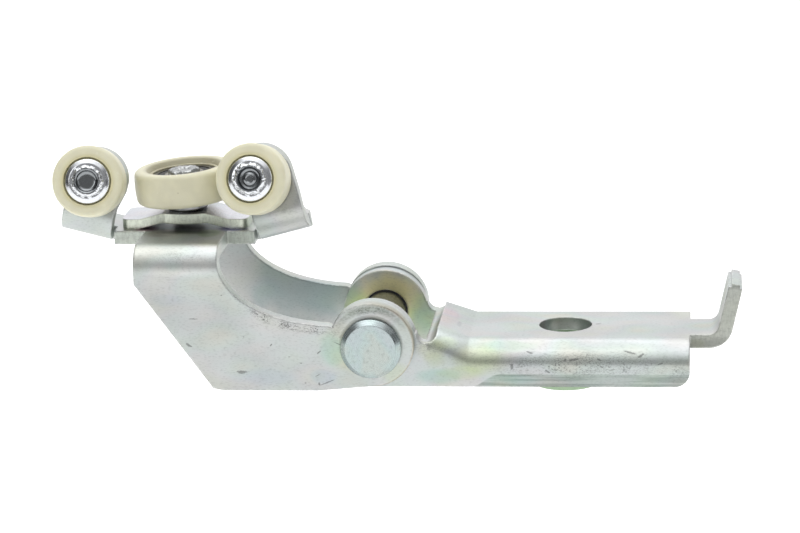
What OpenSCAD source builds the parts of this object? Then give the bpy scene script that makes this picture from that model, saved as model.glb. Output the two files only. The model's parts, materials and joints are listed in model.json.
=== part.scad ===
/* [Sheet metal] */
// Thickness of the pressed sheet of the arm and the bracket
sheet_t = 4; // [3:0.5:5]
// Outside width over the bracket's two cheeks
bracket_w = 47.8; // [44:0.2:56]
// Free gap between the arm and the bracket's cheeks on each side
cheek_gap = 0.35; // [0.3:0.05:1]

/* [Hinge arm] */
// Distance from the hinge axis to the bolt hole
hole_to_hinge = 55; // [50:1:75]
// Distance from the bolt hole to the end of the channel
hole_to_end = 36.5; // [30:0.5:60]
// Radius of the bolt hole
bolt_r = 7.8; // [5:0.1:8.5]
// Height of the arm's side walls, top face to lower edge
arm_h = 13.2; // [12.9:0.1:18]
// Outside radius of the bend between the top and the side walls
arm_bend_r = 6.5; // [5.5:0.5:10]
// Radius of the arm's two hinge ears
arm_ear_r = 12.7; // [11.5:0.1:14]
// Height by which the front lip of the top plate rises
lip_rise = 3.2; // [1:0.1:5]
// Length of the slope that leads up to the lip
lip_slope = 10; // [6:0.5:14]
// Distance from the hinge axis to the front edge of the lip
lip_x = 17.8; // [17:0.1:22]
// Width of the stop tab at the far end
tab_w = 17; // [12:0.5:20]
// Sideways offset of the stop tab from the middle
tab_y = -2.5; // [-4:0.5:0]
// Length of the tab's flat part past the channel
tab_reach = 5.4; // [5:0.2:15]
// Inside radius of the tab's bend
tab_bend_r = 3; // [2:0.5:6]
// Length of the tab's upright part
tab_up = 13.5; // [8:0.5:25]
// Lean of the tab's upright part from the vertical
tab_lean = 13; // [0:1:25]
// Outside radius of the spacer tube welded round the bolt hole
tube_r = 10.2; // [10:0.1:10.4]
// Length of the spacer tube that shows below the side walls
tube_drop = 4; // [0:0.5:6]

/* [Roller bracket] */
// Radius of the bracket's two hinge ears
bracket_ear_r = 12.4; // [11.5:0.1:14]
// Height of the ears' centre above the hinge axis
bracket_ear_up = 0.8; // [0:0.1:1.5]
// Drop of the cheeks' lower edge below the hinge axis
cheek_drop = 12.9; // [12.5:0.1:15]
// Height of the web's top face above the hinge axis
web_z = 29.7; // [27:0.5:45]
// Distance from the hinge axis to the rear edge of the cheeks
cheek_back = 68.6; // [66:0.2:74]
// Distance from the hinge axis to the rear corner of the cheeks' lower edge
cheek_foot = 46.6; // [40:0.2:54]
// Distance from the hinge axis to the front edge of the cheeks' neck
cheek_neck = 44.2; // [42:0.2:48]
// Inside radius of the bends between the web and the cheeks
web_bend_r = 3; // [2:0.5:5]
// Distance from the hinge axis to the rear fold of the web
fold_back = 78; // [74:0.5:84]
// Distance from the hinge axis to the front fold of the web
fold_front = 36; // [32:0.5:38]
// Depth of the web's wide part, front to back
web_deep = 19; // [16:0.5:20]
// Front edge of the web's wide part, from the middle plane
web_front = -3; // [-6:0.5:0]
// Slope of the two outer leaves of the web
leaf_slope = 14.5; // [8:0.5:20]
// Length of each outer leaf
leaf_l = 16; // [12:0.5:20]
// Lean of the two wings that carry the side rollers
wing_lean = 15; // [5:1:20]
// Radius of the wings' rounded tops
wing_top_r = 9.4; // [9:0.1:12]

/* [Side rollers] */
// Radius of the side rollers
side_r = 10.6; // [8.5:0.1:11]
// Width of the side rollers
side_w = 8.4; // [6:0.1:9]
// Height of the rear axle above its leaf
axle_back_up = 12.8; // [12.5:0.1:16]
// Height of the front axle above its leaf
axle_front_up = 14.4; // [12.5:0.1:16]
// Place of the rear axle along its leaf, from the fold
axle_back_x = 9.6; // [8:0.1:11]
// Place of the front axle along its leaf, from the fold
axle_front_x = 4.9; // [4:0.1:6]
// Radius of the side rollers' axles
axle_r = 3.5; // [2.5:0.1:4]
// Radius of the axles' round heads
axle_head_r = 6.65; // [5.5:0.05:7]

/* [Carrier roller] */
// Radius of the carrier roller
carrier_r = 15; // [12:0.1:15.2]
// Width of the carrier roller
carrier_w = 10; // [9:0.1:12]
// Distance from the hinge axis to the carrier roller's axis
stud_x = 57.3; // [56:0.1:59]
// Distance of the carrier roller's axis behind the middle plane
stud_y = 7; // [6:0.1:9]
// Lean of the carrier roller's axis towards the rear
stud_lean = 4; // [0:0.5:6]
// Radius of the stud
stud_r = 4; // [3:0.1:4.4]
// Gap between the stud plate and the carrier roller
carrier_gap = 2.7; // [2.7:0.1:5]
// Number of balls in the bearing
ball_count = 9; // [7:1:11]
// Radius of a ball
ball_r = 1.6; // [1.2:0.05:1.8]

/* [Stud plate] */
// Thickness of the stud plate
plate_t = 3; // [2:0.1:4]
// Length of the stud plate
plate_l = 37.8; // [34:0.2:42]
// Depth of the stud plate, front to back
plate_d = 15.5; // [13:0.5:17]
// Rise of its middle above its two feet
plate_rise = 1.8; // [1.6:0.1:3]
// Length of its raised middle
plate_mid = 14; // [13:0.2:16]
// Length of each slope between the middle and a foot
plate_ramp = 7; // [4:0.5:8]

/* [Hinge pin] */
// Radius of the pin's shank
pin_r = 5; // [4:0.1:5.4]
// Outside radius of the sleeve on the pin
sleeve_r = 6.1; // [5.7:0.05:6.2]
// Wall of the bushes in the arm's ears
bush_t = 0.5; // [0.4:0.05:1.2]
// Radius of the pin's head
head_r = 8.8; // [7.5:0.1:10]
// Thickness of the pin's head
head_t = 2.4; // [1.8:0.1:4]

/* [Hidden] */
$fn = 96;
eps = 0.01;
run_fit = 0.05;      // radial clearance of a part that turns
seat_fit = 0.02;     // radial clearance of a part that is pressed on
side_gap = 0.35;     // clearance beside a part that turns
hinge_drop = 0.3;    // depth of the hinge axis below the arm's top face

// The sheet's places across the hinge, from the middle plane
cheek_out = bracket_w / 2;
cheek_in = cheek_out - sheet_t;
arm_out = cheek_in - cheek_gap;
arm_in = arm_out - sheet_t;
// The arm along its length, from the hinge axis
arm_top = hinge_drop;
arm_low = arm_top - arm_h;
arm_start = lip_x - 2.6;
arm_end = hole_to_hinge + hole_to_end;
arm_corner_r = 4.5;
tab_root = 8;         // length of the tab that lies in the arm's top plate
lip_top = arm_top + lip_rise;
lip_bend_r = sheet_t + 2;
notch_r = (lip_x + 0.7 - arm_ear_r) / 2;
notch_z = arm_top + 2.7;
// The bracket's section and its two rollers' leaves
web_out_r = web_bend_r + sheet_t;
web_low = web_z - sheet_t;
leaf_front = web_front + 5.6;
wing_start = 0.8;
root_step = 0.02;     // step where the wing's root lies inside its leaf
wing_out_r = web_bend_r + sheet_t;
// The stack on the stud, from the stud plate's top face
mid_top = web_z + plate_t + plate_rise;
flange_t = 2;
flange_r = stud_r + 1.9;
stud_tail_r = stud_r + 1.1;
washer_t = 1;
bearing_w = 6;
bearing_z = carrier_gap + (carrier_w - bearing_w) / 2;
ball_ring_r = stud_r + 2.9;
inner_r = ball_ring_r - 1.1;
outer_r = ball_ring_r + 1.1;
seat_r = ball_ring_r + ball_r + 1.1;
// The stack on a side roller's axle, from the wing's front face
axle_washer_t = 0.5;
roller_z = axle_washer_t + side_gap;
sleeve_t = 1.3;
recess_d = 1.5;
head_z = roller_z + side_w - recess_d + side_gap;
axle_head_t = 1.6;

// Puts a shape that is drawn round the hinge axis in the part's own frame
module at_hinge() {
    translate([-hole_to_hinge, 0, -hinge_drop]) children();
}

// Pushes an outline drawn in length and height across the part, from y0 to y1
module across(y0, y1) {
    translate([0, y1, 0]) rotate([90, 0, 0]) linear_extrude(y1 - y0) children();
}

// Pushes an outline drawn in depth and height along the part, from x0 to x1
module along(x0, x1) {
    translate([x0, 0, 0]) rotate([90, 0, 90]) linear_extrude(x1 - x0) children();
}

// A ring round the Z axis
module ring(r_out, r_in, z0, z1) {
    translate([0, 0, z0]) difference() {
        cylinder(r = r_out, h = z1 - z0);
        translate([0, 0, -1]) cylinder(r = r_in, h = z1 - z0 + 2);
    }
}

// A round bar across the part, on the hinge axis
module cross_bar(r, y0, y1) {
    translate([0, y1, 0]) rotate([90, 0, 0]) cylinder(r = r, h = y1 - y0);
}

// A point on a curve with four guide points
function curve(a, b, c, d, t) =
    a * pow(1 - t, 3) + 3 * b * t * pow(1 - t, 2) + 3 * c * t * t * (1 - t) + d * pow(t, 3);

// Half of the arm's section, wall on the side of +Y
module arm_half_section() {
    translate([0, arm_top - sheet_t]) square([arm_out - arm_bend_r, sheet_t]);
    translate([arm_in, arm_low]) square([sheet_t, arm_top - arm_bend_r - arm_low]);
    translate([arm_out - arm_bend_r, arm_top - arm_bend_r]) intersection() {
        difference() {
            circle(r = arm_bend_r);
            circle(r = arm_bend_r - sheet_t);
        }
        square(arm_bend_r + 1);
    }
}

// Side view of the channel, with its round lower corner at the far end
module channel_side() {
    difference() {
        translate([arm_start, arm_low]) square([arm_end - arm_start, arm_top - arm_low]);
        translate([arm_end - arm_corner_r, arm_low + arm_corner_r]) difference() {
            translate([0, -arm_corner_r]) square(arm_corner_r);
            circle(r = arm_corner_r);
        }
    }
}

// Side view of one hinge ear of the arm and its neck
module arm_ear_side() {
    circle(r = arm_ear_r);
    translate([0, arm_low]) square([arm_start + 0.5, notch_z - arm_low]);
}

// A block with two round upper edges, between the channel's walls or over them
module channel_block(half_w, r, top, low) {
    intersection() {
        union() {
            translate([-half_w, low]) square([2 * half_w, top - r - low]);
            for (side = [-1, 1]) translate([side * (half_w - r), top - r]) circle(r = r, $fn = 48);
        }
        translate([-half_w, low]) square([2 * half_w, top - low]);
    }
}

// The channel's front stretch: its bends tighten and its top rises to the lip
module arm_lip() {
    x1 = lip_x + lip_slope;
    difference() {
        hull() {
            along(arm_start, lip_x) channel_block(arm_out, lip_bend_r, lip_top, arm_low);
            along(x1 - 1, x1) channel_block(arm_out, arm_bend_r, arm_top, arm_low);
        }
        hull() {
            along(arm_start - 1, lip_x)
                channel_block(arm_in, lip_bend_r - sheet_t, lip_top - sheet_t, arm_low - 1);
            along(x1 - 1, x1 + 1)
                channel_block(arm_in, arm_bend_r - sheet_t, arm_top - sheet_t, arm_low - 1);
        }
    }
}

// Side view of the stop tab: flat part, bend and leaning upright
module tab_side() {
    turn = 90 - tab_lean;
    cx = arm_end + tab_reach;
    cz = arm_top + tab_bend_r;
    translate([arm_end - tab_root, arm_top - sheet_t]) square([tab_reach + tab_root, sheet_t]);
    translate([cx, cz]) intersection() {
        difference() {
            circle(r = tab_bend_r + sheet_t);
            circle(r = tab_bend_r);
        }
        polygon([[0, 0], [0, -20], [20 * sin(turn), -20], [20 * sin(turn), -20 * cos(turn)]]);
    }
    translate([cx, cz]) rotate(turn) translate([0, -tab_bend_r - sheet_t]) {
        square([tab_up - 1, sheet_t]);
        translate([0, 0.8]) square([tab_up, sheet_t - 1.6]);
    }
}

// End view of the stop tab, with its two round upper corners
module tab_face() {
    corner_r = 2.5;
    top = arm_top + tab_bend_r + tab_up * cos(tab_lean);
    hull() {
        translate([tab_y - tab_w / 2, arm_top - sheet_t - 1]) square([tab_w, 1]);
        for (side = [-1, 1]) translate([tab_y + side * (tab_w / 2 - corner_r), top - corner_r])
            circle(r = corner_r, $fn = 32);
    }
}

module hinge_arm() {
    color([0.80, 0.81, 0.79]) at_hinge() difference() {
        union() {
            intersection() {
                along(lip_x + lip_slope, arm_end) for (side = [0, 1]) mirror([side, 0]) arm_half_section();
                across(-arm_out, arm_out) channel_side();
            }
            arm_lip();
            for (side = [0, 1]) mirror([0, side, 0]) across(arm_in, arm_out) arm_ear_side();
            intersection() {
                across(tab_y - tab_w, tab_y + tab_w) tab_side();
                along(arm_end - tab_root - 1, arm_end + tab_reach + tab_up + sheet_t) tab_face();
            }
        }
        cross_bar(sleeve_r + run_fit + bush_t, -arm_out - 1, arm_out + 1);
        across(-arm_out - 1, arm_out + 1) {
            translate([arm_ear_r + notch_r, notch_z]) circle(r = notch_r);
            translate([arm_ear_r, notch_z]) square([2 * notch_r, 2 * lip_rise]);
        }
        translate([hole_to_hinge, 0, arm_top - sheet_t - 1]) cylinder(r = bolt_r, h = sheet_t + 2);
    }
}

module spacer_tube() {
    tube_top = -sheet_t;
    tube_end = arm_low - arm_top - tube_drop;
    color([0.74, 0.76, 0.74]) difference() {
        ring(tube_r, bolt_r, tube_end, tube_top);
        translate([0, 0, tube_end - eps]) cylinder(r1 = bolt_r + 0.5, r2 = bolt_r, h = 0.5 + eps);
    }
}

module hinge_bush(y0, y1) {
    color([0.13, 0.13, 0.13]) at_hinge() difference() {
        cross_bar(sleeve_r + run_fit + bush_t - seat_fit, y0, y1);
        cross_bar(sleeve_r + run_fit, y0 - 1, y1 + 1);
    }
}

// Side view of one cheek of the bracket, with its hinge ear
module cheek_side() {
    steps = 16;
    neck = [-cheek_neck, web_z - 3];
    saddle = [-12.3, 6.6];
    rim = [for (i = [0 : steps])
        curve(neck, [-cheek_neck, web_z - 15], [-30, 7.5], saddle, i / steps)];
    difference() {
        union() {
            polygon(concat([
                [-cheek_back, web_z + 1],
                [-cheek_back, 19],
                [-cheek_foot, -cheek_drop + 0.6],
                [3.1 - cheek_foot, -cheek_drop],
                [-16, -cheek_drop],
                [-1.2, bracket_ear_up - bracket_ear_r],
                [0, bracket_ear_up]],
                [for (i = [steps : -1 : 0]) rim[i]],
                [[-cheek_neck, web_z + 1]]));
            translate([0, bracket_ear_up]) circle(r = bracket_ear_r);
        }
        translate([-cheek_foot, -cheek_drop]) rotate(-27) translate([-6, -3]) square([7, 3]);
    }
}

// The bracket's section: web, two bends and two straight walls
module bracket_section() {
    for (side = [0, 1]) mirror([side, 0]) {
        translate([0, web_low]) square([cheek_out - web_out_r, sheet_t]);
        translate([cheek_in, -cheek_drop - 1]) square([sheet_t, web_z - web_out_r + cheek_drop + 1]);
        translate([cheek_out - web_out_r, web_z - web_out_r]) intersection() {
            difference() {
                circle(r = web_out_r);
                circle(r = web_bend_r);
            }
            square(web_out_r + 1);
        }
    }
}

// Puts a shape on one outer leaf: X outwards from the fold, Z up from its top face
module on_leaf(front) {
    at_hinge() translate([front ? -fold_front : -fold_back, 0, web_z])
        mirror([front ? 0 : 1, 0, 0]) rotate([0, -leaf_slope, 0]) children();
}

// The place of the wing's front face at a height above the leaf
function wing_y(up) =
    leaf_front - wing_out_r * cos(wing_lean)
    + (up - web_bend_r - wing_out_r * sin(wing_lean)) * tan(wing_lean);

// The place of an axle on its leaf
function axle_x(front) = front ? axle_front_x : axle_back_x;
function axle_up(front) = front ? axle_front_up : axle_back_up;

// Puts a shape on a side roller's axle: Z out of the wing's front face
module on_axle(front) {
    on_leaf(front) translate([axle_x(front), wing_y(axle_up(front)), axle_up(front)])
        rotate([90 - wing_lean, 0, 0]) children();
}

// Front view of a wing: X outwards from the fold, Y up from the leaf
module wing_face(front) {
    inner_x = axle_x(front) - (front ? 8.2 : 10.2);
    top_x = axle_x(front) + (front ? 1.2 : -0.9);
    translate([wing_start, -wing_out_r]) square([leaf_l - wing_start, 2 * wing_out_r]);
    hull() {
        intersection() {
            translate([top_x, axle_up(front)]) circle(r = wing_top_r);
            translate([inner_x, 0]) square([leaf_l - inner_x, 40]);
        }
        translate([wing_start, wing_out_r - 1]) square([leaf_l - wing_start, 0.5]);
    }
}

// Side view of the sheet of a wing: its root in the leaf, its bend and its leaning flat
module wing_sheet() {
    r_out = wing_out_r - root_step;
    r_in = web_bend_r + root_step;
    turn = 90 + wing_lean;
    steps = 14;
    up = [sin(wing_lean), cos(wing_lean)] * 2 * side_r;
    translate([leaf_front, web_bend_r]) polygon(concat(
        [[1, -r_out]],
        [for (i = [0 : steps]) r_out * [-sin(turn * i / steps), -cos(turn * i / steps)]],
        [r_out * [-cos(wing_lean), sin(wing_lean)] + up, r_in * [-cos(wing_lean), sin(wing_lean)] + up],
        [for (i = [steps : -1 : 0]) r_in * [-sin(turn * i / steps), -cos(turn * i / steps)]],
        [[1, -r_in]]));
}

// The wing on one outer leaf, with the hole for its axle
module wing(front) {
    on_leaf(front) difference() {
        intersection() {
            along(-8, leaf_l - 5 * root_step) wing_sheet();
            across(-40, 40) wing_face(front);
        }
        translate([axle_x(front), wing_y(axle_up(front)), axle_up(front)]) rotate([90 - wing_lean, 0, 0])
            translate([0, 0, -sheet_t - 3]) cylinder(r = axle_r + seat_fit, h = sheet_t + 6);
    }
}

// Front view of the web with its two sloping leaves
module web_strip() {
    rise = leaf_l * sin(leaf_slope);
    run = leaf_l * cos(leaf_slope);
    thick_x = sheet_t * sin(leaf_slope);
    thick_z = sheet_t * cos(leaf_slope);
    under_x = sheet_t * tan(leaf_slope / 2);
    polygon([
        [-fold_back - run, web_z + rise],
        [-fold_back, web_z],
        [-fold_front, web_z],
        [-fold_front + run, web_z + rise],
        [-fold_front + run + thick_x, web_z + rise - thick_z],
        [-fold_front + under_x, web_low],
        [-fold_back - under_x, web_low],
        [-fold_back - run - thick_x, web_z + rise - thick_z]]);
}

// Plan of the web: its leaves grow shorter towards the rear edge, with round corners
module web_plan() {
    reach = leaf_l * cos(leaf_slope) + sheet_t * sin(leaf_slope) + 0.1;
    rear = web_front + web_deep;
    corner = 5;
    steps = 6;
    function end(x, side) = [
        [x + side * reach, leaf_front + 1],
        for (i = [0 : steps])
            [x + side * (reach - 3.2 - corner * (1 - cos(90 * i / steps))), rear - corner * (1 - sin(90 * i / steps))]];
    right = end(-fold_front, 1);
    left = end(-fold_back, -1);
    polygon(concat(
        [[-fold_back - reach, leaf_front - 1], [-fold_front + reach, leaf_front - 1]],
        right, [for (i = [steps + 1 : -1 : 0]) left[i]]));
}

module roller_bracket() {
    color([0.79, 0.81, 0.79]) difference() {
        union() {
            at_hinge() {
                intersection() {
                    along(-cheek_back, bracket_ear_r + 1) bracket_section();
                    across(-cheek_out, cheek_out) cheek_side();
                }
                intersection() {
                    across(leaf_front, web_front + web_deep) web_strip();
                    translate([0, 0, web_z - 2 * sheet_t]) linear_extrude(leaf_l + 3 * sheet_t) web_plan();
                }
                translate([-fold_back, web_front, web_low]) cube([fold_back - fold_front, web_deep / 2, sheet_t]);
            }
            wing(true);
            wing(false);
        }
        at_hinge() cross_bar(pin_r + seat_fit, -cheek_out - 1, cheek_out + 1);
    }
}

// Front view of the joggled stud plate
module plate_side() {
    a = plate_mid / 2;
    b = a + plate_ramp;
    c = plate_l / 2;
    polygon([[-c, 0], [-b, 0], [-a, plate_rise], [a, plate_rise], [b, 0], [c, 0],
        [c, plate_t], [b - 0.6, plate_t], [a - 0.6, plate_rise + plate_t],
        [-a + 0.6, plate_rise + plate_t], [-b + 0.6, plate_t], [-c, plate_t]]);
}

// Puts a shape on the stud's axis: Z up from the stud plate's top face
module on_stud() {
    at_hinge() translate([-stud_x, stud_y, mid_top]) rotate([0, -stud_lean, 0]) children();
}

module stud_plate() {
    corner = 2.5;
    lobe_r = 14;
    color([0.80, 0.79, 0.82]) difference() {
        at_hinge() translate([-stud_x, stud_y, web_z]) intersection() {
            across(-plate_d, plate_d) plate_side();
            linear_extrude(plate_t + plate_rise + 1) {
                hull() for (x = [-1, 1]) for (y = [-1, 1])
                    translate([x * (plate_l / 2 - corner), y * (plate_d / 2 - corner)]) circle(r = corner);
                for (y = [-1, 1]) intersection() {
                    translate([0, y * (plate_d / 2 + 1.2 - lobe_r)]) circle(r = lobe_r);
                    translate([-plate_mid / 2 + 0.5, y > 0 ? 0 : -plate_d]) square([plate_mid - 1, plate_d]);
                }
            }
        }
        on_stud() {
            translate([0, 0, -plate_t - 1]) cylinder(r = stud_r + seat_fit, h = plate_t + 2);
            cylinder(r = flange_r + 0.3, h = flange_t);
            translate([0, 0, -plate_t - 2]) cylinder(r = stud_tail_r + 0.3, h = 2);
        }
    }
}

module hinge_pin() {
    chamfer = 1.4;
    tail_t = 2.2;
    color([0.82, 0.84, 0.86]) at_hinge() rotate([90, 0, 0]) rotate_extrude() polygon([
        [0, -cheek_out - 1 - tail_t],
        [pin_r + 1.6, -cheek_out - 1 - tail_t],
        [pin_r + 2.4, -cheek_out - 1 - tail_t + 0.9],
        [pin_r + 2.4, -cheek_out - 1],
        [pin_r, -cheek_out - 1],
        [pin_r, cheek_out],
        [head_r, cheek_out],
        [head_r, cheek_out + head_t - chamfer],
        [head_r - chamfer, cheek_out + head_t],
        [0, cheek_out + head_t]]);
}

module pin_sleeve() {
    color([0.55, 0.57, 0.54]) at_hinge() rotate([90, 0, 0])
        ring(sleeve_r, pin_r + seat_fit, -cheek_in, cheek_in);
}

module pin_washer() {
    color([0.74, 0.76, 0.75]) at_hinge() rotate([-90, 0, 0])
        ring(head_r + 0.4, pin_r + seat_fit, cheek_out, cheek_out + 1);
}

module roller_stud() {
    head_top = bearing_z + bearing_w + 1.4;
    color([0.62, 0.63, 0.62]) on_stud() rotate_extrude() polygon([
        [0, -plate_t - 1.2],
        [stud_r, -plate_t - 1.2],
        [stud_tail_r, -plate_t - 0.8],
        [stud_tail_r, -plate_t],
        [stud_r, -plate_t],
        [stud_r, 0],
        [flange_r, 0],
        [flange_r, flange_t],
        [stud_r, flange_t],
        [stud_r, bearing_z + bearing_w],
        [stud_r + 0.9, bearing_z + bearing_w],
        [stud_r + 0.9, head_top - 0.5],
        [stud_r + 0.3, head_top],
        [1.9, head_top],
        [1.4, head_top - 0.6],
        [0, head_top - 0.6]]);
}

module stud_washer() {
    color([0.85, 0.85, 0.84]) on_stud() ring(stud_r + 1.3, stud_r + seat_fit, flange_t, flange_t + washer_t);
}

module stud_spacer() {
    color([0.25, 0.25, 0.24]) on_stud()
        ring(stud_r + 1.5, stud_r + seat_fit, flange_t + washer_t, bearing_z);
}

// The ring that a ball runs round in, cut from both bearing rings
module ball_groove(r) {
    translate([0, 0, bearing_z + bearing_w / 2]) rotate_extrude() translate([ball_ring_r, 0]) circle(r = r, $fn = 48);
}

module bearing_inner() {
    color([0.66, 0.66, 0.64]) on_stud() difference() {
        ring(inner_r, stud_r + seat_fit, bearing_z, bearing_z + bearing_w);
        ball_groove(ball_r + 0.3);
    }
}

module bearing_balls() {
    color([0.85, 0.85, 0.86]) on_stud() for (i = [0 : ball_count - 1])
        rotate([0, 0, i * 360 / ball_count]) translate([ball_ring_r, 0, bearing_z + bearing_w / 2])
            sphere(r = ball_r, $fn = 32);
}

module bearing_outer() {
    color([0.60, 0.60, 0.58]) on_stud() difference() {
        ring(seat_r - seat_fit, outer_r, bearing_z, bearing_z + bearing_w);
        ball_groove(ball_r + run_fit);
    }
}

module carrier_tyre() {
    z0 = carrier_gap;
    z1 = carrier_gap + carrier_w;
    round_r = 1.5;
    dish_r = carrier_r - 4.3;
    crown = 0.35;
    color([0.88, 0.87, 0.76]) on_stud() rotate_extrude() polygon(concat(
        [[seat_r, bearing_z], [seat_r - 0.9, bearing_z], [seat_r - 0.9, bearing_z - 0.4],
            [dish_r, z0 + 0.6], [dish_r + 0.6, z0]],
        [for (a = [-90 : 15 : -15]) [carrier_r - crown - round_r + round_r * cos(a), z0 + round_r * (1 + sin(a))]],
        [for (i = [-4 : 4]) [carrier_r - crown * i * i / 16,
            z0 + carrier_w / 2 + i * (carrier_w / 2 - round_r) / 4]],
        [for (a = [15 : 15 : 90]) [carrier_r - crown - round_r + round_r * cos(a), z1 - round_r * (1 - sin(a))]],
        [[dish_r + 0.6, z1], [dish_r, z1 - 0.6], [dish_r - 0.4, bearing_z + bearing_w + 0.3],
            [seat_r, bearing_z + bearing_w + 0.3]]));
}

module side_axle(front) {
    shank_end = -sheet_t;
    tail_r = axle_r + 2;
    ring_in = axle_r - 0.6;
    color([0.80, 0.82, 0.85]) on_axle(front) rotate_extrude() polygon([
        [0, shank_end - 2.2],
        [tail_r - 1.4, shank_end - 2.2],
        [tail_r, shank_end - 1.2],
        [tail_r, shank_end],
        [axle_r, shank_end],
        [axle_r, head_z],
        [axle_head_r, head_z],
        [axle_head_r, head_z + axle_head_t - 0.7],
        [axle_head_r - 0.7, head_z + axle_head_t],
        [axle_r + 1.2, head_z + axle_head_t],
        [axle_r + 0.7, head_z + axle_head_t + 0.7],
        [ring_in + 0.3, head_z + axle_head_t + 0.7],
        [ring_in - 0.2, head_z + axle_head_t - 0.2],
        [0, head_z + axle_head_t - 0.2]]);
}

module side_washer(front) {
    color([0.72, 0.74, 0.73]) on_axle(front) ring(axle_r + 2, axle_r + seat_fit, 0, axle_washer_t);
}

module side_sleeve(front) {
    color([0.58, 0.60, 0.58]) on_axle(front)
        ring(axle_r + sleeve_t, axle_r + run_fit, roller_z, roller_z + side_w - recess_d);
}

module side_roller(front) {
    z0 = roller_z;
    z1 = roller_z + side_w;
    round_r = 1.6;
    recess_r = axle_head_r + side_gap;
    color([0.90, 0.89, 0.77]) on_axle(front) rotate_extrude() polygon(concat(
        [[axle_r + sleeve_t + seat_fit, z0]],
        [for (a = [-90 : 15 : 0]) [side_r - round_r + round_r * cos(a), z0 + round_r * (1 + sin(a))]],
        [for (a = [0 : 15 : 90]) [side_r - round_r + round_r * cos(a), z1 - round_r * (1 - sin(a))]],
        [[recess_r + 0.5, z1], [recess_r, z1 - 0.4], [recess_r, z1 - recess_d],
            [axle_r + sleeve_t + seat_fit, z1 - recess_d]]));
}

hinge_arm();
spacer_tube();
hinge_bush(-arm_out, -arm_in);  // front_bush
hinge_bush(arm_in, arm_out);  // back_bush
roller_bracket();
stud_plate();
hinge_pin();
pin_sleeve();
pin_washer();
roller_stud();
stud_washer();
stud_spacer();
bearing_inner();
bearing_balls();
bearing_outer();
carrier_tyre();
side_axle(false);  // rear_axle
side_washer(false);  // rear_axle_washer
side_sleeve(false);  // rear_roller_sleeve
side_roller(false);  // rear_roller
side_axle(true);  // front_axle
side_washer(true);  // front_axle_washer
side_sleeve(true);  // front_roller_sleeve
side_roller(true);  // front_roller
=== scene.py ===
"""Looks of a sliding door roller guide: zinc plated hinge arm and bracket with three nylon rollers.

Every length inside the classes is in millimetres in the part's own frame, whose origin is the bolt
hole in the arm's top face, with X along the arm, Y to the back and Z up.
"""

import json
import logging
import math
from dataclasses import dataclass, field
from enum import Enum
from typing import Callable, Sequence, Union

import bmesh
import bpy
from mathutils import Matrix, Vector, noise

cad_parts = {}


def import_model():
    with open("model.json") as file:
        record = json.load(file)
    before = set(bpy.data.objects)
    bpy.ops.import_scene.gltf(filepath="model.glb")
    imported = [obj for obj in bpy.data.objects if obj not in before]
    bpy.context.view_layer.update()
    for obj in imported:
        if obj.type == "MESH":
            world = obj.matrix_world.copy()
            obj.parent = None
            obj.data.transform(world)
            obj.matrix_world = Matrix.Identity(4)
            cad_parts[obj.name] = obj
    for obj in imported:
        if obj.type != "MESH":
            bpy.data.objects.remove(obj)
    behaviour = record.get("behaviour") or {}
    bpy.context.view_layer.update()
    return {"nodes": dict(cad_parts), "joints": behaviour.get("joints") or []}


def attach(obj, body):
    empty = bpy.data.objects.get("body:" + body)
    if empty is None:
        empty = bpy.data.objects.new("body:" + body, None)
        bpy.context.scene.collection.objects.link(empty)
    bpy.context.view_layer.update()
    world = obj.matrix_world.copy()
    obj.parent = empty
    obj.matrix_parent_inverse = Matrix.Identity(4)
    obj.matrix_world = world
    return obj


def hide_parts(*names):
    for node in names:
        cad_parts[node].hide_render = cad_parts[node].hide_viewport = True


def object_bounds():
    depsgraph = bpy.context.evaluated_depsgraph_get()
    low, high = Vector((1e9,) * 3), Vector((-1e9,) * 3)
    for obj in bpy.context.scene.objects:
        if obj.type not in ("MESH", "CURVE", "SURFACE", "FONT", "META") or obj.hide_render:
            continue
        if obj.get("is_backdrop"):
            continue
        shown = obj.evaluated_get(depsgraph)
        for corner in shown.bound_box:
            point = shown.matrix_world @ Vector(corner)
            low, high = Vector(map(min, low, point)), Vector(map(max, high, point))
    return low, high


MM = 0.001
Triple = tuple[float, float, float]
Profile = Sequence[tuple[float, float]]
log = logging.getLogger("roller_guide")


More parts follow.
